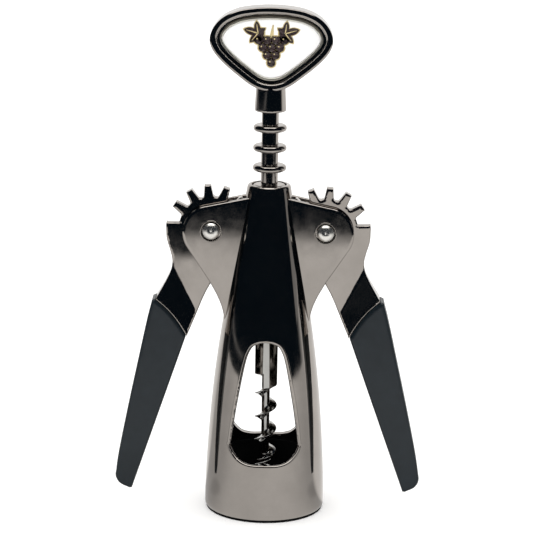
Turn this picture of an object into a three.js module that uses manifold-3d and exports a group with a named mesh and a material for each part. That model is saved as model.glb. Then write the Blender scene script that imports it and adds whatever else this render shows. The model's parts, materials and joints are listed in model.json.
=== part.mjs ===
// Lever corkscrew (wing corkscrew), millimetres, +Z up, +Y to the back.
// Origin: centre of the base, on the surface that the bell stands on. The levers hang a little open.
import * as THREE from 'three';
import * as BufferGeometryUtils from 'three/addons/utils/BufferGeometryUtils.js';
import Module from 'manifold-3d';

const wasm = await Module();
wasm.setup();

// ---- driving dimensions ----
const GAP = 0.3;                       // clearance between touching pieces

const BASE_RADIUS = 20.9;              // bell, outside, at its widest
const WALL = 2.0;                      // bell wall
const BELL_BOTTOM = 0.9;               // the metal rim starts above the plastic lip
const COLLAR_TOP = 115.6;
const COLLAR_RADIUS = 7.4;
const BORE_RADIUS = 6.05;              // guides the rings of the rack
const BELL_SIDES = 40;

const PIVOT_X = 19.65;                 // lever pivots, left and right of the axis
const PIVOT_Z = 99.55;
const EAR_HALF = 4.6;                  // half the thickness over both ear plates
const SLOT_HALF = 2.35;                // half the slot between the ear plates
const EAR_END_RADIUS = 9.45;

const RING_PITCH = 6.9;                // rack
const RING_COUNT = 8;
const RING_RADIUS = 5.75;
const RING_HALF = 0.9;
const ROD_RADIUS = 3.0;
const TOP_RING_Z = 135.2;
const SLEEVE_TOP = 140.9;
const SLEEVE_BOTTOM = 84.5;
const SLEEVE_BORE = 1.95;

const WORM_PITCH = 8.49;               // worm
const WORM_RADIUS = 3.95;
const WORM_CORE = 1.4;
const WORM_TIP_Z = 7.5;
const SHANK_BOTTOM = 46.0;
const FLIGHT_PHASE = 0.46;             // radians, turns the whole flight about the axis
const FLIGHT_INNER = 0.3;              // the flight's root, inside the core
const TANG_RADIUS = 1.6;
const TANG_TOP = 147.2;

const TOOTH_PITCH = 25.2;              // lever gears, degrees
const TOOTH_COUNT = 8;
const FIRST_TOOTH = 146.4;             // outermost free tooth, measured from the inward horizontal
const TIP_RADIUS = 15.4;
const ROOT_RADIUS = 11.3;
const GEAR_HALF = 2.0;
const ARM_HALF = 4.5;                  // lever arm where it meets the grip
const ARM_HALF_LIMIT = 4.9;
const RIGHT_LEVER_EXTRA = 1.2;         // degrees that the right lever rests wider open

const GRIP_HALF_TOP = 4.9;
const GRIP_HALF_TIP = 2.75;
const GRIP_TAPER_START = -45;          // below this height a grip thins towards its tip
const GRIP_TIP_W = -93.7;              // lowest point of a grip, below its pivot
const TONGUE_HALF = 2.2;               // metal tongue inside each grip

const RIVET_RADIUS = 2.0;
const RIVET_HEAD_RADIUS = 2.85;
const RECESS_RADIUS = 3.6;
const RECESS_DEPTH = 0.6;

const NECK_RADIUS = 3.6;               // handle neck, over the top of the tang
const NECK_BOTTOM = SLEEVE_TOP + GAP;
const NECK_TOP = 150.0;
const PIN_Z = 144.0;                   // pin across the neck and the tang
const PIN_RADIUS = 0.75;
const FERRULE_RADIUS = 5.45;
const FERRULE_BOTTOM = 141.0;
const FERRULE_TOP = 148.4;

const HANDLE_HALF = 4.8;               // half the depth of the handle ring
const WEB_HALF = 1.0;                  // web that carries the emblems
const RIM_WIDTH = 2.4;
const BEZEL_WIDTH = 1.4;
const BEZEL_HALF_HEIGHT = 0.9;
const PLATE_THICKNESS = 0.8;
const DOME_HEIGHT = 0.9;

// ---- materials ----
const finish = (color, roughness, metalness) =>
  new THREE.MeshStandardMaterial({ color, roughness, metalness });
const blackNickel = finish(0x8f8983, 0.12, 1.0);
const wormSteel = finish(0x6f6b68, 0.25, 1.0);
const brightNickel = finish(0xded7cb, 0.15, 1.0);
const pinSteel = finish(0xb9b6b0, 0.35, 1.0);
const softGrip = finish(0x35393b, 0.7, 0.0);
const blackPlastic = finish(0x111113, 0.45, 0.0);
const whiteEnamel = finish(0xf6f6f4, 0.35, 0.0);
const clearResin = finish(0xf2f4f4, 0.08, 0.0);

// ---- helpers ----
function toSolid(geometry) {
  const bare = geometry.clone();
  bare.deleteAttribute('normal');
  bare.deleteAttribute('uv');
  const merged = BufferGeometryUtils.mergeVertices(bare, 1e-4);
  return new wasm.Manifold(new wasm.Mesh({
    numProp: 3,
    vertProperties: new Float32Array(merged.attributes.position.array),
    triVerts: new Uint32Array(merged.index.array),
  }));
}

function toGeometry(solid) {
  const mesh = solid.getMesh();
  const geometry = new THREE.BufferGeometry();
  geometry.setAttribute('position', new THREE.BufferAttribute(mesh.vertProperties, 3));
  geometry.setIndex(new THREE.BufferAttribute(mesh.triVerts, 1));
  geometry.computeVertexNormals();
  return geometry;
}

function vectors(pairs) {
  return pairs.map(([x, y]) => new THREE.Vector2(x, y));
}

// A solid of revolution about Z from a profile of [radius, z].
function turned(profile, segments) {
  const geometry = new THREE.LatheGeometry(vectors(profile), segments);
  return geometry.rotateX(Math.PI / 2);
}

// The same about Y, for rivets and pins that lie front to back: profile of [radius, y].
function turnedAlongY(profile, segments) {
  return new THREE.LatheGeometry(vectors(profile), segments);
}

// A round rod across the neck, from side to side.
function crossRod(radius, half) {
  const rod = turnedAlongY([[0, -half], [radius, -half], [radius, half], [0, half]], 12);
  return toSolid(rod.rotateZ(Math.PI / 2).translate(0, 0, PIN_Z));
}

// A hole or pocket along Y at a lever pivot.
function pivotHole(side, radius, y0, y1) {
  const hole = turnedAlongY([[0, y0], [radius, y0], [radius, y1], [0, y1]], 20);
  return toSolid(hole.translate(side * PIVOT_X, 0, PIVOT_Z));
}

// A flat outline drawn in X and Z, extruded from y0 to y1.
function slab(outline, y0, y1, bevel = 0) {
  const options = {
    depth: y1 - y0 - 2 * bevel,
    bevelEnabled: bevel > 0,
    bevelThickness: bevel,
    bevelSize: bevel,
    bevelOffset: -bevel,
    bevelSegments: 2,
  };
  const geometry = new THREE.ExtrudeGeometry(new THREE.Shape(vectors(outline)), options);
  return geometry.rotateX(Math.PI / 2).translate(0, y1 - bevel, 0);
}

// Points on an arc, in degrees, ends included.
function arc(cx, cz, radius, from, to, steps) {
  const points = [];
  for (let i = 0; i <= steps; i++) {
    const angle = THREE.MathUtils.degToRad(from + ((to - from) * i) / steps);
    points.push([cx + radius * Math.cos(angle), cz + radius * Math.sin(angle)]);
  }
  return points;
}

// A smooth curve through the given points.
function smooth(points, steps) {
  return new THREE.SplineCurve(vectors(points)).getPoints(steps).map((p) => [p.x, p.y]);
}

function mirrored(outline, side) {
  return outline.map(([x, z]) => [side * x, z]);
}

// Closed mesh through rings of points that all have the same count, with flat ends.
function lofted(rings) {
  const count = rings[0].length;
  const positions = rings.flat(2);
  const index = [];
  for (let r = 0; r + 1 < rings.length; r++) {
    for (let i = 0; i < count; i++) {
      const a = r * count + i;
      const b = r * count + ((i + 1) % count);
      index.push(a, b, b + count, a, b + count, a + count);
    }
  }
  const last = (rings.length - 1) * count;
  for (let i = 1; i + 1 < count; i++) {
    index.push(0, i + 1, i);
    index.push(last, last + i, last + i + 1);
  }
  const geometry = new THREE.BufferGeometry();
  geometry.setAttribute('position', new THREE.Float32BufferAttribute(positions, 3));
  geometry.setIndex(index);
  return geometry;
}

// A plate drawn in X and Z whose half thickness is a linear function of the place.
function taperedPlate(outline, halfThickness) {
  const points = vectors(outline);
  if (THREE.ShapeUtils.isClockWise(points)) points.reverse();
  const count = points.length;
  const positions = [];
  for (const sign of [-1, 1]) {
    for (const p of points) positions.push(p.x, sign * halfThickness(p.x, p.y), p.y);
  }
  const index = [];
  for (const [a, b, c] of THREE.ShapeUtils.triangulateShape(points, [])) {
    index.push(a, b, c, count + a, count + c, count + b);
  }
  for (let i = 0; i < count; i++) {
    const j = (i + 1) % count;
    index.push(i, count + i, count + j, i, count + j, j);
  }
  const geometry = new THREE.BufferGeometry();
  geometry.setAttribute('position', new THREE.Float32BufferAttribute(positions, 3));
  geometry.setIndex(index);
  return geometry;
}

// ---- bell with collar and ears, one casting ----
const BELL_OUTSIDE = [
  [BASE_RADIUS - 0.4, BELL_BOTTOM],
  [BASE_RADIUS, 5],
  [20.7, 11],
  [20.3, 19.5],
  [19.6, 31],
  [18.5, 43],
  [17.1, 55],
  [15.4, 67.5],
  [13.3, 80],
  [11.1, 93],
  [9.25, 104],
  [COLLAR_RADIUS + 0.1, 113],
];

function bellShell() {
  const top = [
    [COLLAR_RADIUS, COLLAR_TOP - 1.0],
    [COLLAR_RADIUS - 0.35, COLLAR_TOP - 0.3],
    [COLLAR_RADIUS - 1.0, COLLAR_TOP],
  ];
  return toSolid(turned([[0, BELL_BOTTOM], ...BELL_OUTSIDE, ...top, [0, COLLAR_TOP]], BELL_SIDES));
}

function bellHollow() {
  const inside = BELL_OUTSIDE.slice(1, -2).filter((_, i) => i % 2 === 0).map(([r, z]) => [r - WALL, z]);
  const profile = [
    [0, -1],
    [BASE_RADIUS - WALL, -1],
    ...inside,
    [BORE_RADIUS, 105],
    [BORE_RADIUS, COLLAR_TOP + 1],
    [0, COLLAR_TOP + 1],
  ];
  return toSolid(turned(profile, BELL_SIDES));
}

function earOutline() {
  const cx = PIVOT_X + 0.35;
  const cz = PIVOT_Z - 0.6;
  return [
    [2, 112.4],
    [6.4, 111.6],
    [15.8, 109.3],
    ...arc(cx, cz, EAR_END_RADIUS, 86, -34, 12),
    [20.1, 82.1],
    [17.4, 77.1],
    [15.45, 72.6],
    [14.6, 69.6],
    [2, 69.6],
  ];
}

function earPair(side) {
  const plates = toSolid(slab(mirrored(earOutline(), side), -EAR_HALF, EAR_HALF));
  const slot = [[3, 60], [36, 60], [36, 120], [3, 120]];
  return plates.subtract(toSolid(slab(mirrored(slot, side), -SLOT_HALF, SLOT_HALF)));
}

// The window is an arch that is cut straight through the front and back walls.
function windowOutline() {
  const bottom = [[0, 19.9], [5, 20.2], [9.3, 21.8], [12.1, 24.2]];
  const edge = smooth([[12.6, 26.2], [11.4, 34.4], [9.6, 45], [7.9, 54.5], [5.9, 60.6], [0, 63.9]], 14);
  const right = [...bottom, ...edge];
  const left = right.slice(1, -1).reverse().map(([x, z]) => [-x, z]);
  return [...right, ...left];
}

function bellFrame() {
  let body = bellShell();
  for (const side of [-1, 1]) body = body.add(earPair(side));
  const gearSlot = [[-14, 85], [14, 85], [14, 111.6], [-14, 111.6]];
  body = body.subtract(bellHollow());
  body = body.subtract(toSolid(slab(gearSlot, -SLOT_HALF, SLOT_HALF)));
  body = body.subtract(toSolid(slab(windowOutline(), -30, 30)));
  const recessFloor = EAR_HALF - RECESS_DEPTH;
  for (const side of [-1, 1]) {
    body = body.subtract(pivotHole(side, RIVET_RADIUS + GAP, -2 * EAR_HALF, 2 * EAR_HALF));
    body = body.subtract(pivotHole(side, RECESS_RADIUS, -2 * EAR_HALF, -recessFloor));
    body = body.subtract(pivotHole(side, RECESS_RADIUS, recessFloor, 2 * EAR_HALF));
  }
  return body;
}

// ---- black plastic seat that centres the bottle neck ----
function bottleSeat() {
  const outer = BASE_RADIUS - WALL - GAP;
  const lip = BELL_BOTTOM - GAP;
  const profile = [
    [16.6, 0],
    [BASE_RADIUS - 0.6, 0],
    [BASE_RADIUS - 0.4, lip],
    [outer, lip],
    [outer - 0.25, 12],
    [outer - 0.6, 18.6],
    [outer - 1.8, 18.6],
    [15.2, 11],
    [15.2, 3],
    [16.6, 0],
  ];
  return toSolid(turned(profile, BELL_SIDES));
}

// ---- rack sleeve: a tube with rings that the lever gears push ----
function rackSleeve() {
  const profile = [[SLEEVE_BORE, SLEEVE_BOTTOM], [ROD_RADIUS, SLEEVE_BOTTOM]];
  for (let i = RING_COUNT - 1; i >= 0; i--) {
    const z = TOP_RING_Z - i * RING_PITCH;
    profile.push([ROD_RADIUS, z - RING_HALF]);
    profile.push([RING_RADIUS - 0.35, z - RING_HALF]);
    profile.push([RING_RADIUS, z]);
    profile.push([RING_RADIUS - 0.35, z + RING_HALF]);
    profile.push([ROD_RADIUS, z + RING_HALF]);
  }
  profile.push([ROD_RADIUS, SLEEVE_TOP], [SLEEVE_BORE, SLEEVE_TOP], [SLEEVE_BORE, SLEEVE_BOTTOM]);
  return toSolid(turned(profile, 18));
}

// ---- worm: milled flight, shank, and a tang that runs up through the sleeve ----
const STEPS_PER_TURN = 12;

function wormFlight() {
  const turns = (SHANK_BOTTOM + 2 - WORM_TIP_Z) / WORM_PITCH;
  const steps = Math.round(turns * STEPS_PER_TURN);
  const rings = [];
  for (let i = 0; i <= steps; i++) {
    const t = i / steps;
    const angle = Math.PI + t * turns * 2 * Math.PI + FLIGHT_PHASE;
    const z = WORM_TIP_Z + t * turns * WORM_PITCH;
    const grow = Math.min(1, 0.25 + t * turns * 1.1);
    const outer = WORM_RADIUS * Math.min(1, 0.55 + t * turns * 0.9);
    const section = [[FLIGHT_INNER, 0.95], [outer, 0.2], [outer, -0.2], [FLIGHT_INNER, -0.95]];
    rings.push(section.map(([r, dz]) => [r * Math.cos(angle), r * Math.sin(angle), z + dz * grow]));
  }
  return toSolid(lofted(rings));
}

function worm() {
  const profile = [
    [0, WORM_TIP_Z + 1.5],
    [0.5, WORM_TIP_Z + 1.5],
    [WORM_CORE, WORM_TIP_Z + 9],
    [WORM_CORE, SHANK_BOTTOM],
    [WORM_RADIUS, SHANK_BOTTOM + 1.2],
    [WORM_RADIUS, SLEEVE_BOTTOM - GAP],
    [TANG_RADIUS, SLEEVE_BOTTOM - GAP],
    [TANG_RADIUS, TANG_TOP],
    [0, TANG_TOP],
  ];
  const body = toSolid(turned(profile, 18)).add(wormFlight());
  return body.subtract(crossRod(PIN_RADIUS, NECK_RADIUS + 1));
}

// ---- handle: ring with a web and a neck, ferrule over the neck, cross pin under the ferrule ----
// Right half of the handle outline, top to bottom.
const HANDLE_OUTLINE = [
  [0, 176.8], [6.4, 176.45], [12.3, 175.25], [17.3, 172.5], [20.1, 168.9], [20.85, 165.5],
  [19.7, 162.1], [16.2, 158.0], [10.9, 153.5], [6.2, 150.0], [3.0, 148.7], [0, 148.4],
];

function closedHalf(half) {
  const left = half.slice(1, -1).reverse().map(([x, z]) => [-x, z]);
  const loop = vectors([...half, ...left]).map((p) => new THREE.Vector3(p.x, p.y, 0));
  const curve = new THREE.CatmullRomCurve3(loop, true, 'centripetal');
  return curve.getPoints(36).slice(0, -1).map((p) => [p.x, p.y]);
}

// Moves every point of a smooth closed outline inwards, square to it.
function inset(outline, distance) {
  const count = outline.length;
  return outline.map((p, i) => {
    const before = outline[(i + count - 1) % count];
    const after = outline[(i + 1) % count];
    const tangent = new THREE.Vector2(after[0] - before[0], after[1] - before[1]).normalize();
    return [p[0] + tangent.y * distance, p[1] - tangent.x * distance];
  });
}

function handleRing() {
  const outline = closedHalf(HANDLE_OUTLINE);
  const pocket = inset(outline, RIM_WIDTH);
  const neck = turned([
    [0, NECK_BOTTOM], [NECK_RADIUS, NECK_BOTTOM], [NECK_RADIUS, NECK_TOP], [0, NECK_TOP],
  ], 24);
  const bore = turned([
    [0, NECK_BOTTOM - 1], [TANG_RADIUS + GAP, NECK_BOTTOM - 1],
    [TANG_RADIUS + GAP, TANG_TOP + GAP], [0, TANG_TOP + GAP],
  ], 20);
  let body = toSolid(slab(outline, -HANDLE_HALF, HANDLE_HALF, 1.6));
  body = body.subtract(toSolid(slab(pocket, WEB_HALF, 9)));
  body = body.subtract(toSolid(slab(pocket, -9, -WEB_HALF)));
  body = body.add(toSolid(neck));
  body = body.subtract(toSolid(bore));
  return body.subtract(crossRod(PIN_RADIUS + GAP, NECK_RADIUS + 1));
}

function ferrule() {
  const inner = NECK_RADIUS + GAP;
  const sleeve = toSolid(turned([
    [inner, FERRULE_BOTTOM], [FERRULE_RADIUS - 0.15, FERRULE_BOTTOM],
    [FERRULE_RADIUS, FERRULE_BOTTOM + 0.4],
    [FERRULE_RADIUS - 0.35, FERRULE_TOP], [inner, FERRULE_TOP], [inner, FERRULE_BOTTOM],
  ], 28));
  const ringAbove = slab(inset(closedHalf(HANDLE_OUTLINE), -GAP), -HANDLE_HALF - GAP, HANDLE_HALF + GAP);
  return sleeve.subtract(toSolid(ringAbove));
}

function crossPin() {
  return crossRod(PIN_RADIUS - GAP, NECK_RADIUS - 0.1);
}

// ---- emblem: bezel, printed plate and clear dome on each face of the web ----
function emblemPiece(face, from, to, outline, hole = null) {
  const [y0, y1] = face > 0 ? [from, to] : [-to, -from];
  const piece = toSolid(slab(outline, y0, y1));
  return hole ? piece.subtract(toSolid(slab(hole, y0 - 1, y1 + 1))) : piece;
}

const emblemEdge = inset(closedHalf(HANDLE_OUTLINE), RIM_WIDTH + GAP);
const plateEdge = inset(closedHalf(HANDLE_OUTLINE), RIM_WIDTH + BEZEL_WIDTH + 2 * GAP);

function emblemBezel(face) {
  const from = WEB_HALF + GAP;
  const hole = inset(closedHalf(HANDLE_OUTLINE), RIM_WIDTH + BEZEL_WIDTH + GAP);
  return emblemPiece(face, from, from + 2 * BEZEL_HALF_HEIGHT, emblemEdge, hole);
}

function emblemPlate(face) {
  const from = WEB_HALF + GAP;
  return emblemPiece(face, from, from + PLATE_THICKNESS, plateEdge);
}

function emblemDome(face) {
  const from = WEB_HALF + 2 * GAP + PLATE_THICKNESS;
  const [y0, y1] = face > 0 ? [from, from + DOME_HEIGHT] : [-from - DOME_HEIGHT, -from];
  return toSolid(slab(plateEdge, y0, y1, 0.3));
}

// ---- levers, drawn about their pivot: first number outwards from the axis, second upwards ----
const CREASE = [[13.2, -13.35], [4.9, -29.0]];
const OUTER_EDGE = [
  [15.6, 0.5], [15.2, -4], [13.9, -8], [13.3, -10.9], [13.7, -13.9], [15.0, -17.1], [18.9, -24.0],
];
const SEAM = [[18.9, -24.0], [14.6, -28.1], [11.1, -32.2], [8.0, -37.4]];
const INNER_EDGE = [[8.0, -37.4], [5.2, -30.7], [1.65, -22.0], [-3.2, -13.5]];

function toothOutline(angle) {
  const section = [
    [ROOT_RADIUS - 1.2, 1.8], [ROOT_RADIUS, 1.6], [TIP_RADIUS - 0.5, 1.2], [TIP_RADIUS, 0.7],
    [TIP_RADIUS, -0.7], [TIP_RADIUS - 0.5, -1.2], [ROOT_RADIUS, -1.6], [ROOT_RADIUS - 1.2, -1.8],
  ];
  const radians = THREE.MathUtils.degToRad(180 - angle);
  const [c, s] = [Math.cos(radians), Math.sin(radians)];
  return section.map(([r, w]) => [r * c - w * s, r * s + w * c]);
}

function armThickness(side) {
  const [a, b] = CREASE;
  const along = new THREE.Vector2(b[0] - a[0], b[1] - a[1]).normalize();
  const across = new THREE.Vector2(-along.y, along.x);
  const reach = (x, z) => (side * x - a[0]) * across.x + (z - a[1]) * across.y;
  const slope = (ARM_HALF - GEAR_HALF) / reach(side * SEAM[1][0], SEAM[1][1]);
  return (x, z) => Math.min(ARM_HALF_LIMIT, GEAR_HALF - 0.02 + slope * Math.max(0, reach(x, z)));
}

function leverBody(side) {
  const place = (outline) => mirrored(outline, side);
  const plate = [
    [11.0, 2.1],
    [15.3, 2.1],
    ...smooth(OUTER_EDGE, 18),
    ...SEAM.slice(1),
    ...INNER_EDGE.slice(1),
    ...arc(0, 0, ROOT_RADIUS, 222, 10, 22),
  ];
  const ramp = [...smooth(OUTER_EDGE, 18).slice(12), ...SEAM.slice(1), CREASE[1]];
  const tongue = [
    [15.5, -25.5], [20.2, -33], [29.6, -80], [28.2, -84], [25.8, -80], [12.2, -40], [9.5, -30],
  ];
  let body = toSolid(slab(place(plate), -GEAR_HALF, GEAR_HALF));
  for (let i = 0; i < TOOTH_COUNT; i++) {
    const tooth = slab(place(toothOutline(FIRST_TOOTH - i * TOOTH_PITCH)), -GEAR_HALF, GEAR_HALF);
    body = body.add(toSolid(tooth));
  }
  body = body.add(toSolid(taperedPlate(place(ramp), armThickness(side))));
  body = body.add(toSolid(slab(place(tongue), -TONGUE_HALF, TONGUE_HALF)));
  const hole = turnedAlongY([
    [0, -2 * ARM_HALF], [RIVET_RADIUS + GAP, -2 * ARM_HALF],
    [RIVET_RADIUS + GAP, 2 * ARM_HALF], [0, 2 * ARM_HALF],
  ], 20);
  return body.subtract(toSolid(hole));
}

function gripBody(side) {
  const outer = [[20.2, -25.2], [21.7, -30.5], [24.7, -45], [28.6, -63.2], [32.1, -81], [33.0, -86.8]];
  const corner = [[33.0, -89.2], [31.7, -91.8], [29.7, -93.2], [27.2, GRIP_TIP_W]];
  const inner = [[26.5, GRIP_TIP_W], [20.45, -75.2], [14.4, -56.7], [8.4, -38.2]];
  const end = [[11.4, -32.6], [14.95, -28.5], [19.2, -24.5]];
  const outline = mirrored([...outer, ...corner, ...inner, ...end], side);
  const thickness = (x, z) => {
    const down = Math.max(0, GRIP_TAPER_START - z) / (GRIP_TAPER_START - GRIP_TIP_W);
    return GRIP_HALF_TOP - (GRIP_HALF_TOP - GRIP_HALF_TIP) * down ** 1.6;
  };
  const pocket = [
    [17.0, -24.0], [20.6, -32.5], [30.2, -80], [28.4, -84.8], [25.2, -80], [11.7, -40], [7.5, -30],
  ];
  const grip = toSolid(taperedPlate(outline, thickness));
  return grip.subtract(toSolid(slab(mirrored(pocket, side), -TONGUE_HALF - GAP, TONGUE_HALF + GAP)));
}

function rivet() {
  const under = EAR_HALF - RECESS_DEPTH + GAP;
  const profile = [
    [0, -under - 1.7], [1.3, -under - 1.55], [2.2, -under - 1.05], [RIVET_HEAD_RADIUS, -under - 0.2],
    [RIVET_HEAD_RADIUS, -under], [RIVET_RADIUS, -under], [RIVET_RADIUS, under], [RIVET_HEAD_RADIUS, under],
    [RIVET_HEAD_RADIUS, under + 0.2], [2.2, under + 1.05], [1.3, under + 1.55], [0, under + 1.7],
  ];
  return toSolid(turnedAlongY(profile, 18));
}

// ---- assembly ----
const corkscrew = new THREE.Group();
corkscrew.name = 'lever_corkscrew';

function place(parent, name, solid, material) {
  const mesh = new THREE.Mesh(toGeometry(solid), material);
  mesh.name = name;
  parent.add(mesh);
  return mesh;
}

place(corkscrew, 'bell_frame', bellFrame(), blackNickel);
place(corkscrew, 'bottle_seat', bottleSeat(), blackPlastic);
place(corkscrew, 'rack_sleeve', rackSleeve(), blackNickel);
place(corkscrew, 'worm', worm(), wormSteel);
place(corkscrew, 'handle_ring', handleRing(), blackNickel);
place(corkscrew, 'neck_ferrule', ferrule(), blackNickel);
place(corkscrew, 'handle_cross_pin', crossPin(), pinSteel);
for (const [name, face] of [['front', -1], ['back', 1]]) {
  place(corkscrew, `emblem_bezel_${name}`, emblemBezel(face), brightNickel);
  place(corkscrew, `emblem_plate_${name}`, emblemPlate(face), whiteEnamel);
  place(corkscrew, `emblem_dome_${name}`, emblemDome(face), clearResin);
}
for (const [name, side] of [['left', -1], ['right', 1]]) {
  const pivot = new THREE.Group();
  pivot.position.set(side * PIVOT_X, 0, PIVOT_Z);
  corkscrew.add(pivot);
  place(pivot, `pivot_rivet_${name}`, rivet(), brightNickel);
  const swing = new THREE.Group();
  swing.rotation.y = side > 0 ? -THREE.MathUtils.degToRad(RIGHT_LEVER_EXTRA) : 0;
  pivot.add(swing);
  place(swing, `lever_${name}`, leverBody(side), blackNickel);
  place(swing, `grip_${name}`, gripBody(side), softGrip);
}

export default corkscrew;
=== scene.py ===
import bpy
import functools
import itertools
import json
import math
import numpy as np
from mathutils import Matrix, Vector


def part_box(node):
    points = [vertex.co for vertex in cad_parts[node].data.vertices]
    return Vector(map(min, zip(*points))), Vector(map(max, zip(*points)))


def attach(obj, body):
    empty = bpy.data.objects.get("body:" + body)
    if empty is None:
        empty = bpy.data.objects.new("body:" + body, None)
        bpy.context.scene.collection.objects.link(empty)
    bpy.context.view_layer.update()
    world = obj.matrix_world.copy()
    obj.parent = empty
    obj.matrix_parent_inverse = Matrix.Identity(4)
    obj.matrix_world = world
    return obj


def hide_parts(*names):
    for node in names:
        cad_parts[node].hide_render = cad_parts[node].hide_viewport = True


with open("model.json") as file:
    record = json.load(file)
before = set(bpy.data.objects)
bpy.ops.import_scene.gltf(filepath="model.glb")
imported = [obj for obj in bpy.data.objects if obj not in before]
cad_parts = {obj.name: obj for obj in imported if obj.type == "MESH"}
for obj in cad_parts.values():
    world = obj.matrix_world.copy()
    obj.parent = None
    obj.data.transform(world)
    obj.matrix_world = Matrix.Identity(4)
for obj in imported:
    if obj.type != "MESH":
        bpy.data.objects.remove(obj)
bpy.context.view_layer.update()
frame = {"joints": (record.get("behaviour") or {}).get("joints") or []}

# Lengths in this script are in millimetres, and MM turns them into Blender's metres.
MM = 0.001


def low(node):
    return np.array(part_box(node)[0]) / MM


def high(node):
    return np.array(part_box(node)[1]) / MM


# ---------------------------------------------------------------- driving dimensions
JOINTS = {joint["name"]: joint for joint in frame["joints"]}
PIVOT = np.array(JOINTS["lever_right_hinge"]["pos_m"]) / MM
PIVOT_X, PIVOT_Z = PIVOT[0], PIVOT[2]

COLLAR_TOP = high("bell_frame")[2]
BELL_BOTTOM = 0.75
BORE_RADIUS = 6.05
WALL = 2.0
EAR_HALF = 4.6
EAR_ROUND = 0.45
EAR_ROOT = 0.9
SLOT_HALF = 2.6
BELL_SLOT_HALF = SLOT_HALF + 0.25
SLOT_MIDDLE_Z = 98.3
SLOT_HALF_HEIGHT = 13.3
RIVET_HOLE = 2.3
HEAD_RADIUS = 2.95
HEAD_GAP = 0.46
HEAD_RECESS = 1.4
HEAD_DEPTH = 0.45
RIVET_RING_GAP = 0.44
RIVET_RING_WIDTH = 0.5
WINDOW_BEAD = {"front": 0.75, "back": 0.16}
BEAD_SHIFT = 0.5
BEAD_RISE = 0.08

RING_PITCH = 6.9
RING_COUNT = 8
RING_RADIUS = high("rack_sleeve")[0]
RING_HALF = 1.15
RING_EXTRA = 0.2
RING_TAPER = 0.02
ROD_RADIUS = 2.92
TOP_RING_Z = 135.2
SLEEVE_BORE = 1.95

GEAR_HALF = 2.0
TIP_RADIUS = 15.4
ROOT_RADIUS = 11.3
TOOTH_PITCH = 25.2
TOOTH_COUNT = 8
FIRST_TOOTH = {"left": 145.6, "right": 146.4}
RIGHT_LEVER_EXTRA = math.radians(1.2)
LEVER_LEAN = {"left": 0.018, "right": -0.036}

WORM_RADIUS = 3.95
WORM_PITCH = 8.49
WORM_CORE = 1.42
TANG_RADIUS = 1.6

# Grid steps of the modelled surfaces.
FINE_CELL = 0.3
LEVER_CELL = 0.34
GRIP_CELL = 0.55
BELL_CELL = 0.56

HANDLE_HALF = high("handle_ring")[1]
RIM_WIDTH = 2.35
RIM_EDGE = 0.45
RIM_INNER_EDGE = 0.9
WEB_HALF = 1.0


# ---------------------------------------------------------------- distance fields
def soft_union(a, b, k):
    h = np.clip(0.5 + 0.5 * (b - a) / k, 0, 1)
    return b * (1 - h) + a * h - k * h * (1 - h)


def soft_common(a, b, k):
    return -soft_union(-a, -b, k)


def span_square(u, w, ex, ey):
    """Squared distance to the straight span from the origin to (ex, ey)."""
    t = np.clip((u * ex + w * ey) / (ex * ex + ey * ey), 0, 1)
    return (u - ex * t) ** 2 + (w - ey * t) ** 2


def outline_field(points, u, w):
    """Signed distance to a closed outline, negative inside it."""
    corners = np.asarray(points, float)
    nearest = np.full(u.shape, np.inf)
    inside = np.zeros(u.shape, bool)
    for (ax, ay), (bx, by) in zip(corners, np.roll(corners, -1, 0)):
        nearest = np.minimum(nearest, span_square(u - ax, w - ay, bx - ax, by - ay))
        if by != ay:
            inside ^= ((ay > w) != (by > w)) & (u < ax + (w - ay) * (bx - ax) / (by - ay))
    return np.where(inside, -1, 1) * np.sqrt(nearest)


def open_distance(points, u, w):
    """Distance to an open line."""
    nearest = np.full(u.shape, np.inf)
    for (ax, ay), (bx, by) in zip(points, points[1:]):
        nearest = np.minimum(nearest, span_square(u - ax, w - ay, bx - ax, by - ay))
    return np.sqrt(nearest)


def slab_field(flat, offset, radius):
    """A flat shape given thickness: both arguments are distances, and the edge between them is rounded."""
    a, b = flat + radius, offset + radius
    return np.minimum(np.maximum(a, b), 0) + np.hypot(np.maximum(a, 0), np.maximum(b, 0)) - radius


def smooth_curve(points, steps, closed=False):
    """Centripetal Catmull-Rom curve through the points, evenly stepped in each span."""
    p = np.asarray(points, float)
    if closed:
        p = np.vstack([p[-1], p, p[0], p[1]])
    else:
        p = np.vstack([2 * p[0] - p[1], p, 2 * p[-1] - p[-2]])
    result = []
    for a, b, c, d in zip(p, p[1:], p[2:], p[3:]):
        ka = np.linalg.norm(b - a) ** 0.5
        kb = np.linalg.norm(c - b) ** 0.5
        kc = np.linalg.norm(d - c) ** 0.5
        start = kb * ((b - a) / ka - (c - a) / (ka + kb) + (c - b) / kb)
        end = kb * ((c - b) / kb - (d - b) / (kb + kc) + (d - c) / kc)
        for t in np.arange(steps) / steps:
            result.append(
                (2 * t**3 - 3 * t**2 + 1) * b
                + (t**3 - 2 * t**2 + t) * start
                + (3 * t**2 - 2 * t**3) * c
                + (t**3 - t**2) * end
            )
    if not closed:
        result.append(p[-2])
    return np.array(result)


def polar_points(cx, cz, radius, angles):
    return np.column_stack([cx + radius * np.cos(angles), cz + radius * np.sin(angles)])


def arc(cx, cz, radius, start, end, steps):
    return polar_points(cx, cz, radius, np.radians(np.linspace(start, end, steps + 1)))


# ---------------------------------------------------------------- meshes
def add_object(name, data):
    thing = bpy.data.objects.new(name, data)
    bpy.context.scene.collection.objects.link(thing)
    return thing


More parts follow.
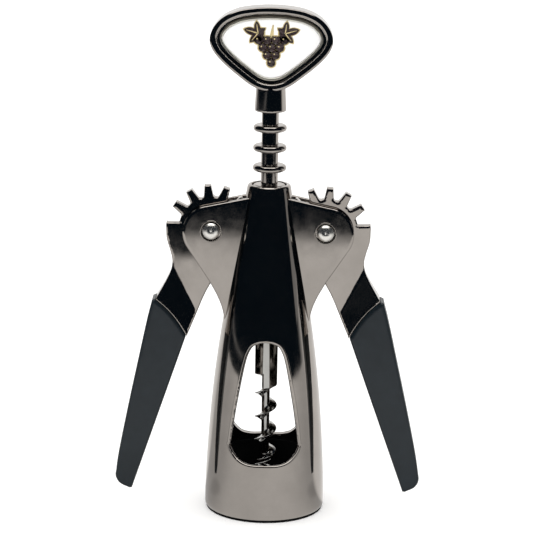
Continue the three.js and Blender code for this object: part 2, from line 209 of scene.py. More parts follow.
def make_object(name, vertices, faces, normals, body, nodes, slot, material):
    """A piece in millimetres with its own normals, riding on a body in place of CAD nodes."""
    mesh = bpy.data.meshes.new(name)
    mesh.from_pydata((np.asarray(vertices) * MM).tolist(), [], faces)
    mesh.polygons.foreach_set("use_smooth", [True] * len(mesh.polygons))
    mesh.update()
    if normals is not None and len(normals) == len(mesh.loops):
        mesh.normals_split_custom_set(np.asarray(normals).tolist())
    elif normals is not None:
        mesh.normals_split_custom_set_from_vertices(np.asarray(normals).tolist())
    mesh.materials.append(material)
    piece = add_object(name, mesh)
    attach(piece, body)
    if nodes:
        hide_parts(*nodes)


BLOCK = 6
EDGE_SOFTNESS = 0.45


def sample(field, origin, cell, counts):
    """Field values on a grid. Only blocks near the surface are worked out point by point."""
    blocks = -(-counts // BLOCK)
    axes = [origin[a] + (np.arange(blocks[a]) * BLOCK + (BLOCK - 1) / 2) * cell for a in range(3)]
    centre = np.meshgrid(*axes, indexing="ij")
    coarse = field(*centre)
    near = np.abs(coarse) < BLOCK * cell * 1.15
    values, mask = coarse, near
    for axis in range(3):
        values = np.repeat(values, BLOCK, axis)
        mask = np.repeat(mask, BLOCK, axis)
    values = values[: counts[0], : counts[1], : counts[2]].copy()
    mask = mask[: counts[0], : counts[1], : counts[2]]
    where = np.argwhere(mask)
    x, y, z = (where * cell + origin).T
    values[mask] = field(x, y, z)
    return values


def gradient(field, p, step=0.02):
    """Unit gradient and its length, from four points of a small tetrahedron."""
    total = np.zeros_like(p)
    for corner in ((1, -1, -1), (-1, -1, 1), (-1, 1, -1), (1, 1, 1)):
        direction = np.array(corner, float)
        total += direction * field(*(p + direction * step).T)[:, None]
    total /= 4 * step
    size = np.maximum(np.linalg.norm(total, axis=1, keepdims=True), 1e-9)
    return total / size, size


def cut_edges(values, place):
    """For each of a cell's twelve edges: the cells where the surface cuts it, and where, in grid steps."""
    for axis in range(3):
        along = np.eye(3, dtype=int)[axis]
        others = [a for a in range(3) if a != axis]
        for u, v in itertools.product((0, 1), repeat=2):
            start = place.copy()
            start[:, others[0]] += u
            start[:, others[1]] += v
            a, b = values[tuple(start.T)], values[tuple((start + along).T)]
            cut = (a < 0) != (b < 0)
            yield cut, start[cut] + along * (a[cut] / (a[cut] - b[cut]))[:, None]


def surface_net(field, box_low, box_high, cell):
    """Vertices, quads and normals of the closed surface where the field is zero."""
    origin = np.asarray(box_low, float) - 2.5 * cell
    counts = np.ceil((np.asarray(box_high) - origin) / cell + 3).astype(int)
    values = sample(field, origin, cell, counts)
    inside = values < 0
    cells = counts - 1
    total = np.zeros(cells, np.int8)
    for i, j, k in itertools.product((0, 1), repeat=3):
        total += inside[i : i + cells[0], j : j + cells[1], k : k + cells[2]]
    crossed = (total > 0) & (total < 8)
    place = np.argwhere(crossed)
    number = np.full(cells, -1)
    number[crossed] = np.arange(len(place))

    points = np.zeros((len(place), 3))
    hits = np.zeros(len(place))
    for cut, at in cut_edges(values, place):
        points[cut] += at
        hits += cut
    points = points / hits[:, None] * cell + origin

    home = points.copy()
    for _ in range(3):
        normal, size = gradient(field, points)
        step = field(*points.T)[:, None] / size
        points = points - normal * np.clip(step, -cell, cell) * 0.9
        points = home + np.clip(points - home, -cell, cell)
    normal, _ = gradient(field, points)
    faces = net_faces(inside, number)
    sharp = edge_vertices(normal, faces)
    points[sharp] = edge_points(field, values, place[sharp], origin, cell)
    normal[sharp], _ = gradient(field, points[sharp])
    return points, faces, normal, sharp


def edge_vertices(normal, faces):
    """True where the surface turns so quickly that a vertex stands at an edge."""
    sharp = np.zeros(len(normal), bool)
    for step in (1, 2):
        a, b = faces.ravel(), np.roll(faces, -step, 1).ravel()
        bent = np.einsum("ij,ij->i", normal[a], normal[b]) < 0.65
        sharp[a[bent]] = True
        sharp[b[bent]] = True
    return sharp


def edge_points(field, values, place, origin, cell):
    """Where the planes that cross a cell meet, so that the vertices of a sharp edge lie on the edge."""
    total = np.zeros((len(place), 3, 3))
    target = np.zeros((len(place), 3))
    middle = np.zeros((len(place), 3))
    hits = np.zeros(len(place))
    for cut, steps in cut_edges(values, place):
        at = steps * cell + origin
        normal, size = gradient(field, at)
        offset = np.einsum("ij,ij->i", normal, at) - field(*at.T) / size[:, 0]
        total[cut] += normal[:, :, None] * normal[:, None, :]
        target[cut] += normal * offset[:, None]
        middle[cut] += at
        hits[cut] += 1
    middle /= hits[:, None]
    hold = 0.04
    total += np.eye(3) * hold
    met = np.linalg.solve(total, (target + middle * hold)[:, :, None])[:, :, 0]
    return middle + np.clip(met - middle, -cell * 0.75, cell * 0.75)


def net_faces(inside, number):
    counts = np.array(inside.shape)
    faces = []
    for axis in range(3):
        b, c = (axis + 1) % 3, (axis + 2) % 3
        along = np.eye(3, dtype=int)[axis]
        first = inside[tuple(slice(0, n - s) for n, s in zip(counts, along))]
        second = inside[tuple(slice(s, n) for n, s in zip(counts, along))]
        edges = np.argwhere(first != second)
        edges = edges[(edges[:, b] > 0) & (edges[:, c] > 0)]
        outward = first[tuple(edges.T)]
        corners = []
        for db, dc in ((-1, -1), (0, -1), (0, 0), (-1, 0)):
            at = edges.copy()
            at[:, b] += db
            at[:, c] += dc
            corners.append(number[tuple(at.T)])
        quads = np.column_stack(corners)
        quads[~outward] = quads[~outward][:, ::-1]
        faces.append(quads)
    return np.vstack(faces)


def relaxed(normal, faces, sharp, times):
    """Normals averaged with their neighbours, to take the facets out of a polished face. Edges stay out."""
    a = faces.ravel()
    b = np.roll(faces, -1, 1).ravel()
    kept = normal[sharp]
    for _ in range(times):
        normal = np.where(sharp[:, None], 0, normal)
        total = normal.copy()
        for axis in range(3):
            total[:, axis] += np.bincount(a, normal[b, axis], len(normal))
            total[:, axis] += np.bincount(b, normal[a, axis], len(normal))
        normal = total / np.maximum(np.linalg.norm(total, axis=1, keepdims=True), 1e-9)
    normal[sharp] = kept
    return normal


def corner_normals(field, points, faces, normal, sharp):
    """A normal for each corner of each face. At an edge every face keeps its own side's direction."""
    corners = normal[faces]
    face, corner = np.nonzero(sharp[faces])
    at = points[faces[face, corner]]
    centre = points[faces[face]].mean(1)
    side, _ = gradient(field, at * 0.62 + centre * 0.38)
    mixed = side + EDGE_SOFTNESS * normal[faces[face, corner]]
    corners[face, corner] = mixed / np.maximum(np.linalg.norm(mixed, axis=1, keepdims=True), 1e-9)
    return corners.reshape(-1, 3)


def field_mesh(field, box_low, box_high, cell, relax):
    """Points, quads and a normal for each corner of each quad."""
    points, faces, normal, sharp = surface_net(field, box_low, box_high, cell)
    normal = relaxed(normal, faces, sharp, relax)
    return points, faces, corner_normals(field, points, faces, normal, sharp)


def mirrored_mesh(points, faces, normal, flip):
    """The mirror image of field_mesh's points, quads and corner normals."""
    backwards = normal.reshape(-1, 4, 3)[:, ::-1].reshape(-1, 3)
    return points * flip, faces[:, ::-1], backwards * flip


def field_piece(name, field, box_low, box_high, cell, body, nodes, slot, material, relax):
    points, faces, normal = field_mesh(field, box_low, box_high, cell, relax)
    make_object(name, points, faces.tolist(), normal, body, nodes, slot, material)


def rounded_profile(corners, radii, closed):
    """Profile points with exact normals: every corner becomes an arc of its own radius."""
    corners = np.asarray(corners, float)
    count = len(corners)
    points, normals = [], []
    for i, radius in enumerate(radii):
        here = corners[i]
        if not closed and i in (0, count - 1):
            other = corners[1] if i == 0 else corners[-2]
            tangent = (other - here) * (1 if i == 0 else -1)
            tangent /= np.linalg.norm(tangent)
            points.append(here)
            normals.append([tangent[1], -tangent[0]])
            continue
        arrive = here - corners[i - 1]
        leave = corners[(i + 1) % count] - here
        arrive /= np.linalg.norm(arrive)
        leave /= np.linalg.norm(leave)
        turn = math.atan2(arrive[0] * leave[1] - arrive[1] * leave[0], arrive @ leave)
        trim = radius * math.tan(abs(turn) / 2)
        start = here - arrive * trim
        side = math.copysign(1, turn)
        centre = start + side * radius * np.array([-arrive[1], arrive[0]])
        steps = max(2, int(abs(turn) / math.radians(11)))
        for s in range(steps + 1):
            angle = turn * s / steps
            normal = np.array([arrive[1], -arrive[0]])
            turned_normal = np.array([
                normal[0] * math.cos(angle) - normal[1] * math.sin(angle),
                normal[0] * math.sin(angle) + normal[1] * math.cos(angle),
            ])
            points.append(centre + side * radius * turned_normal)
            normals.append(turned_normal)
    return np.array(points), np.array(normals)


def band_faces(rings, sides, closed):
    """Quads between each ring of points and the next, and back to the first if closed."""
    faces = []
    for i in range(rings if closed else rings - 1):
        here, after = i * sides, (i + 1) % rings * sides
        for k in range(sides):
            j = (k + 1) % sides
            faces.append((here + k, here + j, after + j, after + k))
    return faces


def turned_mesh(corners, radii, segments, closed):
    """A solid of revolution about Z. An open profile runs from axis to axis, lower end first."""
    profile, normal = rounded_profile(corners, radii, closed)
    angles = np.arange(segments) * 2 * math.pi / segments
    cosine, sine = np.cos(angles), np.sin(angles)
    rows, row_normals = [], []
    for (r, z), (nr, nz) in zip(profile, normal):
        rows.append(np.column_stack([r * cosine, r * sine, np.full(segments, z)]))
        row_normals.append(np.column_stack([nr * cosine, nr * sine, np.full(segments, nz)]))
    faces = band_faces(len(rows), segments, closed)
    if not closed:
        faces.append(tuple(range(segments))[::-1])
        faces.append(tuple((len(rows) - 1) * segments + s for s in range(segments)))
    return np.vstack(rows), faces, np.vstack(row_normals)


def turned_piece(name, corners, radii, segments, closed, body, nodes, slot, material, along_y=None):
    points, faces, normal = turned_mesh(corners, radii, segments, closed)
    if along_y is not None:
        points = np.column_stack([points[:, 0], -points[:, 2], points[:, 1]]) + along_y
        normal = np.column_stack([normal[:, 0], -normal[:, 2], normal[:, 1]])
    make_object(name, points, faces, normal, body, nodes, slot, material)


def bead(name, path, radius, body, slot, material, sides=10):
    """A thin round bead along a closed path: it rounds off an edge and catches a line of light."""
    path = np.asarray(path, float)
    along = np.roll(path, -1, 0) - np.roll(path, 1, 0)
    along /= np.linalg.norm(along, axis=1, keepdims=True)
    first = np.cross(along, [0, 1, 0])
    first /= np.linalg.norm(first, axis=1, keepdims=True)
    second = np.cross(along, first)
    angles = np.arange(sides) * 2 * math.pi / sides
    out = first[:, None] * np.cos(angles)[:, None] + second[:, None] * np.sin(angles)[:, None]
    points = path[:, None] + out * radius
    faces = band_faces(len(path), sides, True)
    make_object(name, points.reshape(-1, 3), faces, out.reshape(-1, 3), body, [], slot, material)


# ---------------------------------------------------------------- materials
def map_range(tree, value, limits, shape="LINEAR"):
    """Value taken from the first two limits to the last two."""
    node = tree.nodes.new("ShaderNodeMapRange")
    node.interpolation_type = shape
    for socket, limit in zip(("From Min", "From Max", "To Min", "To Max"), limits):
        node.inputs[socket].default_value = limit
    tree.links.new(value, node.inputs["Value"])
    return node.outputs["Result"]


class Shader:
    """A material's Principled shader and short ways to feed its sockets."""

    def __init__(self, name):
        self.material = bpy.data.materials.new(name)
        self.material.use_nodes = True
        self.tree = self.material.node_tree
        self.main = self.tree.nodes["Principled BSDF"]
        self.coordinates = self.tree.nodes.new("ShaderNodeTexCoord").outputs["Object"]

    def link(self, a, b):
        self.tree.links.new(a, b)

    def set(self, **sockets):
        for name, value in sockets.items():
            self.main.inputs[name.replace("_", " ")].default_value = value

    def noise(self, size_mm, detail=2.0, stretch=(1, 1, 1)):
        """Noise whose features are about size_mm across."""
        mapping = self.tree.nodes.new("ShaderNodeMapping")
        mapping.inputs["Scale"].default_value = stretch
        self.link(self.coordinates, mapping.inputs["Vector"])
        node = self.tree.nodes.new("ShaderNodeTexNoise")
        node.inputs["Scale"].default_value = 1 / (size_mm * MM)
        node.inputs["Detail"].default_value = detail
        self.link(mapping.outputs["Vector"], node.inputs["Vector"])
        return node.outputs["Fac"]

    def spread(self, value, low_value, high_value, from_low=0.3, from_high=0.7):
        return map_range(self.tree, value, (from_low, from_high, low_value, high_value))

    def blend(self, value, first, second):
        node = self.tree.nodes.new("ShaderNodeMix")
        node.data_type = "RGBA"
        node.inputs["A"].default_value = (*first, 1)
        node.inputs["B"].default_value = (*second, 1)
        self.link(value, node.inputs["Factor"])
        return node.outputs["Result"]

    def bump(self, layers):
        """Bump from (height output, depth in mm) layers."""
        below = None
        for height, depth in layers:
            node = self.tree.nodes.new("ShaderNodeBump")
            node.inputs["Strength"].default_value = 1
            node.inputs["Distance"].default_value = depth * MM
            self.link(height, node.inputs["Height"])
            if below is not None:
                self.link(below, node.inputs["Normal"])
            below = node.outputs["Normal"]
        self.link(below, self.main.inputs["Normal"])


def surface(name, dark, light, rough, tone_size, rough_noise, bumps, **sockets):
    """A material whose colour, roughness and height vary a little."""
    shader = Shader(name)
    shader.set(**sockets)
    tone = shader.spread(shader.noise(tone_size, 4), 0, 1)
    shader.link(shader.blend(tone, dark, light), shader.main.inputs["Base Color"])
    shader.link(shader.spread(shader.noise(*rough_noise), *rough), shader.main.inputs["Roughness"])
    shader.bump([(shader.noise(*noise), depth) for noise, depth in bumps])
    return shader.material


def metal(name, dark, light, rough, wave, scratches=0.0002):
    """Plated metal: slow waves from polishing, a faint haze and hairline marks."""
    bumps = [((12, 1), wave), ((0.5, 3, (1, 1, 6)), scratches)]
    return surface(name, dark, light, rough, 9, (4, 5), bumps, Metallic=1.0)


def polymer(name, dark, light, rough, grain_mm, grain_depth, gloss=0.5):
    """Moulded plastic or rubber with a fine grain and slightly uneven colour."""
    bumps = [((grain_mm, 3), grain_depth)]
    return surface(name, dark, light, rough, 6, (2.5, 4), bumps, Metallic=0.0, Specular_IOR_Level=gloss)


black_nickel = metal("black_nickel", (0.352, 0.325, 0.300), (0.402, 0.372, 0.345), (0.045, 0.09), 0.01)
NICKEL = ("black_nickel", black_nickel)
worm_steel = metal("worm_steel", (0.40, 0.395, 0.38), (0.50, 0.495, 0.48), (0.05, 0.11), 0.004, 0.0008)
satin_nickel = metal("satin_nickel", (0.82, 0.80, 0.71), (0.90, 0.88, 0.79), (0.32, 0.42), 0.004)
rivet_nickel = metal("rivet_nickel", (0.95, 0.93, 0.88), (0.99, 0.97, 0.92), (0.27, 0.36), 0.008)
pin_steel = metal("pin_steel", (0.50, 0.49, 0.47), (0.60, 0.59, 0.57), (0.25, 0.35), 0.004, 0.001)
soft_grip = polymer("soft_grip", (0.003, 0.0085, 0.013), (0.005, 0.0115, 0.017), (0.30, 0.38), 0.25, 0.006)
black_plastic = polymer("black_plastic", (0.003, 0.003, 0.0035), (0.006, 0.006, 0.0065),
                        (0.8, 0.9), 0.3, 0.01, gloss=0.04)
white_print = polymer("white_print", (0.965, 0.965, 0.965), (0.985, 0.985, 0.985), (0.28, 0.36), 0.4, 0.002)
dark_ink = polymer("dark_ink", (0.030, 0.018, 0.020), (0.055, 0.036, 0.036), (0.30, 0.42), 0.3, 0.004)
gold_ink = polymer("gold_ink", (0.62, 0.50, 0.24), (0.74, 0.62, 0.33), (0.30, 0.42), 0.3, 0.004)


def clear_resin_material():
    """Clear resin over the print. It has no depth worth bending light, so it is see-through by alpha."""
    shader = Shader("clear_resin")
    shader.set(Roughness=0.06, Alpha=0.015)
    tone = shader.spread(shader.noise(8, 3), 0, 1)
    color = shader.blend(tone, (0.020, 0.020, 0.018), (0.030, 0.030, 0.027))
    shader.link(color, shader.main.inputs["Base Color"])
    return shader.material


clear_resin = clear_resin_material()


# ---------------------------------------------------------------- bell, collar and ears
BELL_PROFILE = [
    (2, 20.85), (8, 20.82), (16, 20.45), (24, 20.05), (34, 19.35), (44, 18.42), (54, 17.25),
    (64, 15.95), (74, 14.3), (84, 12.65), (94, 11.0), (104, 9.35), (112, 7.95), (116, 7.3),
]
BELL_CURVE = np.polynomial.Polynomial.fit(*np.array(BELL_PROFILE).T, 6)
BELL_SLOPE = BELL_CURVE.deriv()

WINDOW_SIDE = [(11.75, 27.2), (11.2, 32.2), (10.2, 39.4), (9.25, 45), (8.2, 50.8), (7.05, 56.4),
               (6.2, 59.2), (4.7, 61.9), (2.5, 63.2), (0, 63.6)]
WINDOW_FOOT = [(0, 20.3), (5.4, 20.45), (8.4, 21.5), (10.4, 23.4), (11.6, 25.4), (12.1, 27.0)]


def mirrored_loop(half):
    """A closed outline from its right half, which starts and ends on the axis."""
    half = np.asarray(half, float)
    return np.vstack([half, half[-2:0:-1] * [-1, 1]])


WINDOW = mirrored_loop(np.vstack([smooth_curve(WINDOW_FOOT, 5), smooth_curve(WINDOW_SIDE, 5)]))

EAR_CENTRE = (PIVOT_X + 0.35, PIVOT_Z - 0.6)
EAR = np.vstack([
    [(2, 112.3), (6.4, 111.5), (11.0, 110.5)],
    arc(*EAR_CENTRE, 9.45, 83, -34, 22),
    smooth_curve([(20.2, 82.1), (17.45, 77.1), (15.6, 72.6), (14.4, 67.0)], 5),
    [(2, 67.0)],
])


def bell_side(x, y, z):
    rho = np.hypot(x, y)
    height = np.clip(z, 0, 118)
    slope = BELL_SLOPE(height)
    return (rho - BELL_CURVE(height)) / np.sqrt(1 + slope * slope)


def bell_hollow(x, y, z):
    rho = np.hypot(x, y)
    height = np.clip(z, -5, 104)
    side = (rho - (BELL_CURVE(np.maximum(height, 4)) - WALL)) / 1.02
    bore = rho - BORE_RADIUS
    return np.minimum(soft_common(side, z - 106, 1.0), bore)


def gear_slot(x, y, z):
    high_enough = np.abs(z - SLOT_MIDDLE_Z) - SLOT_HALF_HEIGHT
    return np.maximum(np.abs(y) - BELL_SLOT_HALF, np.maximum(high_enough, np.abs(x) - 30))


def bell_field(x, y, z):
    body = soft_common(bell_side(x, y, z), BELL_BOTTOM - z, 0.9)
    body = soft_common(body, z - COLLAR_TOP, 0.75)
    body = np.maximum(body, -bell_hollow(x, y, z))
    body = np.maximum(body, -gear_slot(x, y, z))
    return np.where(np.abs(x) < 17, np.maximum(body, -outline_field(WINDOW, x, z)), body)


def ear_field(x, y, z):
    """The two plates on the right side of the bell, which grow out of its wall."""
    flat = outline_field(EAR, x, z)
    middle, half = (EAR_HALF + SLOT_HALF) / 2, (EAR_HALF - SLOT_HALF) / 2
    plates = slab_field(flat, np.abs(np.abs(y) - middle) - half, EAR_ROUND)
    plates = np.maximum(plates, -EAR_ROOT - bell_side(x, y, z))
    hole = np.hypot(x - PIVOT_X, z - PIVOT_Z) - HEAD_RADIUS - HEAD_GAP
    return np.maximum(plates, -np.maximum(hole, EAR_HALF - HEAD_RECESS - np.abs(y)))


def window_edge(face, bead_radius):
    """A closed path just under the bell's outer surface, for a bead that rounds off the window's edge."""
    along = np.roll(WINDOW, -1, 0) - np.roll(WINDOW, 1, 0)
    outward = along[:, ::-1] * [1, -1] / np.linalg.norm(along, axis=1, keepdims=True)
    x, z = (WINDOW + outward * BEAD_SHIFT * bead_radius).T
    radius = BELL_CURVE(z) + BEAD_RISE - bead_radius
    return np.column_stack([x, face * np.sqrt(radius * radius - x * x), z])


def build_bell():
    corner = high("bell_frame")
    base = corner[1]
    field_piece("bell_frame_fine", bell_field, (-base, -base, 0), (base, base, corner[2]), BELL_CELL,
                "bell", ["bell_frame"], *NICKEL, 2)
    for face, name in ((-1, "front"), (1, "back")):
        radius = WINDOW_BEAD[name]
        path = window_edge(face, radius)
        bead(f"bell_window_edge_{name}", path, radius, "bell", *NICKEL, sides=18)
    ear_low, ear_high = (5, -EAR_HALF, 66), (corner[0], EAR_HALF, 113)
    points, faces, normal = field_mesh(ear_field, ear_low, ear_high, FINE_CELL, 2)
    mirrored = mirrored_mesh(points, faces, normal, [-1, 1, 1])
    for name, (points, faces, normal) in (("right", (points, faces, normal)), ("left", mirrored)):
        make_object(f"bell_ear_{name}", points, faces.tolist(), normal,
                    "bell", [], *NICKEL)
    for side, face in itertools.product((-1, 1), repeat=2):
        build_rivet_ring(side, face)


def build_rivet_ring(side, face):
    """A low raised ring on the ear around a rivet head."""
    inner = HEAD_RADIUS + RIVET_RING_GAP
    outer = inner + RIVET_RING_WIDTH
    corners = [(outer, 0.3), (outer, -0.12), (inner, -0.12), (inner, 0.3)]
    points, faces, normal = turned_mesh(corners, [0.05, 0.2, 0.2, 0.05], 64, True)
    points, normal = facing(points, normal, face)
    place = points + [side * PIVOT_X, face * EAR_HALF, PIVOT_Z]
    side_name, face_name = ("left", "right")[side > 0], ("front", "back")[face > 0]
    make_object(f"bell_rivet_ring_{side_name}_{face_name}", place, faces, normal,
                "bell", [], *NICKEL)


def facing(points, normal, face):
    """Stands a turned piece on a front (-1) or back (1) face: its downward side looks out of that face."""
    turn = np.array([[1, 0, 0], [0, 0, -face], [0, face, 0]])
    return points @ turn.T, normal @ turn.T


def build_seat():
    outer = high("bottle_seat")[0]
    corners = [(16.6, 0), (outer - 0.1, 0), (outer, 0.65), (18.9, 0.65), (18.8, 12), (18.45, 18.6),
               (16.9, 18.6), (15.2, 11), (15.2, 3)]
    radii = [0.3, 0.25, 0.15, 0.1, 3, 0.3, 0.3, 2, 1]
    turned_piece("bottle_seat_fine", corners, radii, 128, True,
                 "bell", ["bottle_seat"], "black_plastic", black_plastic)


def build_rivets():
    under = EAR_HALF - HEAD_DEPTH
    for side, name in ((-1, "left"), (1, "right")):
        half = [(2.0, under), (HEAD_RADIUS, under), (HEAD_RADIUS, under + 0.5),
                (2.1, under + 1.3), (0.0, under + 1.95)]
        radii = [0.05, 0.12, 0.5, 2.6, 0]
        corners = [(r, -z) for r, z in half[::-1]] + half
        turned_piece(f"pivot_rivet_{name}_fine", corners, radii[::-1] + radii, 64, False, "bell",
                     [f"pivot_rivet_{name}"], "bright_nickel", rivet_nickel,
                     along_y=np.array([side * PIVOT_X, 0, PIVOT_Z]))


# ---------------------------------------------------------------- rack sleeve
def build_rack():
    bottom, top = low("rack_sleeve")[2], high("rack_sleeve")[2]
    corners, radii = [(SLEEVE_BORE, bottom), (ROD_RADIUS, bottom)], [0.2, 0.3]
    for i in range(RING_COUNT - 1, -1, -1):
        z = TOP_RING_Z - i * RING_PITCH
        rim = RING_RADIUS + RING_EXTRA - RING_TAPER * (RING_COUNT - 1 - i)
        corners += [(ROD_RADIUS, z - RING_HALF), (rim, z - RING_HALF)]
        corners += [(rim, z + RING_HALF), (ROD_RADIUS, z + RING_HALF)]
        radii += [0.3, 1.08, 1.08, 0.3]
    corners += [(ROD_RADIUS, top), (SLEEVE_BORE, top)]
    radii += [0.3, 0.2]
    turned_piece("rack_sleeve_fine", corners, radii, 96, True,
                 "rack", ["rack_sleeve"], *NICKEL)


# ---------------------------------------------------------------- worm
WORM_TIP = low("worm")[2]
TAPER_LENGTH = 7
FLIGHT_PHASE = 40.85
FLIGHT_TOP = 50
CORE_END = 18.6
HOOK_HALF = 0.8
HOOK_RADIUS = 2.1
SHANK_STEP = -math.pi / 2 - 0.25
# Angle from the step and height of the shank's lower end, on the step's left and on its right.
SHANK_LEFT = ((-math.pi, -1.32, 0), (44.9, 47.9, 48.7))
SHANK_RIGHT = ((0, 0.6, 1.82, math.pi), (43.4, 43.7, 44.2, 44.9))


def worm_field(x, y, z):
    rho = np.hypot(x, y)
    angle = np.arctan2(y, x)
    grow = np.clip((z - WORM_TIP) / TAPER_LENGTH, 0, 1)
    core = soft_common(rho - WORM_CORE, CORE_END - z, 0.8)
    turn = z - FLIGHT_PHASE - WORM_PITCH * (angle - math.pi) / (2 * math.pi)
    off = turn - WORM_PITCH * np.round(turn / WORM_PITCH)
    out = np.clip((rho - WORM_CORE) / (WORM_RADIUS - WORM_CORE), 0, 1)
    hook = np.clip((CORE_END + 2.5 - z) / 3, 0, 1)
    blade = 0.16 + 1.05 * (1 - out) ** 1.7
    half = (blade * (1 - hook) + HOOK_HALF * hook) * (0.5 + 0.5 * grow)
    flight = (np.abs(off) - half) * 0.8
    flight = soft_common(flight, rho - WORM_RADIUS, 0.4)
    flight = soft_common(flight, HOOK_RADIUS * hook - rho, 0.4)
    flight = np.maximum(flight, np.maximum(WORM_TIP - z, z - FLIGHT_TOP))
    flight = np.maximum(flight, 0.35 - rho)
    around = np.mod(angle - SHANK_STEP + math.pi, 2 * math.pi) - math.pi
    wall = -rho * np.sin(np.clip(around, -math.pi / 2, math.pi / 2))
    right_end = np.maximum(np.interp(around, *SHANK_RIGHT) - z, wall)
    bottom = np.minimum(right_end, np.interp(around, *SHANK_LEFT) - z)
    shank = soft_common(rho - WORM_RADIUS, bottom, 0.3)
    shank = np.maximum(shank, z - low("rack_sleeve")[2] + 0.2)
    tang = np.maximum(rho - TANG_RADIUS, z - high("worm")[2])
    body = np.minimum(soft_union(core, flight, 0.5), shank)
    return np.where(z > 60, np.minimum(shank, tang), np.maximum(body, z - 70))


def build_worm():
    field_piece("worm_fine", worm_field, low("worm") - 0.3, high("worm"), FINE_CELL,
                "spindle", ["worm"], "worm_steel", worm_steel, 1)


# ---------------------------------------------------------------- handle and emblem
HANDLE_HALF_OUTLINE = [
    (0, 176.8), (6.6, 176.4), (12.3, 175.2), (17.1, 172.6), (20.0, 168.9), (20.8, 165.3),
    (19.6, 161.9), (16.3, 158.0), (11.0, 153.5), (6.3, 150.1), (3.1, 148.8), (0, 148.4),
]
HANDLE_OUTLINE = smooth_curve(mirrored_loop(HANDLE_HALF_OUTLINE), 8, closed=True)
NECK_RADIUS = 3.2
NECK_TOP = 150.2
FERRULE_RADIUS = 5.45
FERRULE_TAPER = 0.05
FERRULE_BORE = 3.75
FERRULE_TOP = 150.4
PIN_RADIUS = 0.45
PIN_HOLE = 0.6
PIN_Z = (low("handle_cross_pin")[2] + high("handle_cross_pin")[2]) / 2


def rim_field(x, y, z):
    depth = -outline_field(HANDLE_OUTLINE, x, z)
    face = np.abs(y) - HANDLE_HALF
    rim = np.maximum(slab_field(-depth, face, RIM_EDGE), slab_field(depth - RIM_WIDTH, face, RIM_INNER_EDGE))
    web = np.maximum(np.abs(y) - WEB_HALF, RIM_WIDTH / 2 - depth)
    return np.minimum(rim, web)


def handle_field(x, y, z):
    rho = np.hypot(x, y)
    bottom = low("handle_ring")[2]
    neck = np.maximum(rho - NECK_RADIUS, np.maximum(bottom - z, z - NECK_TOP))
    body = np.minimum(rim_field(x, y, z), neck)
    body = np.maximum(body, -np.maximum(rho - TANG_RADIUS - 0.15, z - high("worm")[2] - 0.15))
    return np.maximum(body, PIN_HOLE - np.hypot(y, z - PIN_Z))


def ferrule_field(x, y, z):
    rho = np.hypot(x, y)
    bottom = low("neck_ferrule")[2]
    taper = FERRULE_RADIUS - FERRULE_TAPER * (z - bottom)
    cone = soft_common(rho - taper, bottom - z, 0.6)
    cone = np.maximum(cone, z - FERRULE_TOP)
    cone = np.maximum(cone, FERRULE_BORE - rho)
    return np.maximum(cone, 0.08 - rim_solid(x, y, z))


def rim_solid(x, y, z):
    """The handle's outer shape with nothing cut out of its faces."""
    depth = -outline_field(HANDLE_OUTLINE, x, z)
    return slab_field(-depth, np.abs(y) - HANDLE_HALF, RIM_EDGE)


def build_handle():
    for name, field, below, above, relax in (
        ("handle_ring", handle_field, 0, 0.6, 3), ("neck_ferrule", ferrule_field, 0.1, 2, 1),
    ):
        field_piece(f"{name}_fine", field, low(name) - [0, 0, below], high(name) + [0, 0, above], FINE_CELL,
                    "spindle", [name], *NICKEL, relax)
    end = high("handle_cross_pin")[0]
    corners = [(0, -end), (PIN_RADIUS, -end), (PIN_RADIUS, end), (0, end)]
    points, faces, normal = turned_mesh(corners, [0, 0.12, 0.12, 0], 24, False)
    points = points[:, [2, 0, 1]] + [0, 0, PIN_Z]
    make_object("handle_cross_pin_fine", points, faces, normal[:, [2, 0, 1]], "spindle",
                ["handle_cross_pin"], "pin_steel", pin_steel)


def emblem_field(inner, outer, foot, top, crown, radius):
    """A layer of the emblem between two depths from the handle's outline, crowned in the middle."""
    def field(x, y, z):
        depth = -outline_field(HANDLE_OUTLINE, x, z)
        flat = np.maximum(inner - depth, depth - outer)
        rise = crown * (1 - np.exp(-np.clip(depth - inner, 0, None) / 2.0))
        middle = (foot + top) / 2
        return slab_field(flat, np.abs(y - middle - rise / 2) - (top - foot + rise) / 2, radius)
    return field


EMBLEM_CENTRE = (0.0, 163.9)
GRAPE_RADIUS = 1.38
GRAPE_PITCH = 2.95
LEAF_SPAN = 4.9
# Direction in radians from the leaf's tip, length and width of each lobe.
LEAF_LOBES = [(0, 1.0, 0.42), (1.15, 0.84, 0.40), (-1.15, 0.84, 0.40),
              (2.25, 0.62, 0.42), (-2.25, 0.62, 0.42)]
PLATE_HEIGHT = 1.5
BEZEL_HEIGHT = 2.05
BEZEL_GROOVE = 0.85
BEZEL_WIDTH = 1.05


def disc(cx, cz, radius, steps=28):
    return polar_points(cx, cz, radius, np.arange(steps) * 2 * math.pi / steps)


def leaf(cx, cz, size, tilt, grow, steps=120):
    """A vine leaf: five pointed lobes of different length around its stalk."""
    angles = np.arange(steps) * 2 * math.pi / steps
    lobes = np.zeros(steps)
    for at, reach, width in LEAF_LOBES:
        off = np.mod(angles - at + math.pi, 2 * math.pi) - math.pi
        lobes = np.maximum(lobes, reach * np.clip(1 - np.abs(off) / (2.1 * width), 0, 1) ** 0.8)
    radius = size * np.maximum(lobes, 0.42) + grow
    return polar_points(cx, cz, radius, angles + tilt)


def stroke(ax, az, bx, bz, width):
    """A tapering line from a to b."""
    along = np.array([bx - ax, bz - az])
    side = np.array([-along[1], along[0]]) / np.linalg.norm(along) * width / 2
    a, b = np.array([ax, az]), np.array([bx, bz])
    return np.array([a - side, b - side * 0.3, b + side * 0.3, a + side])


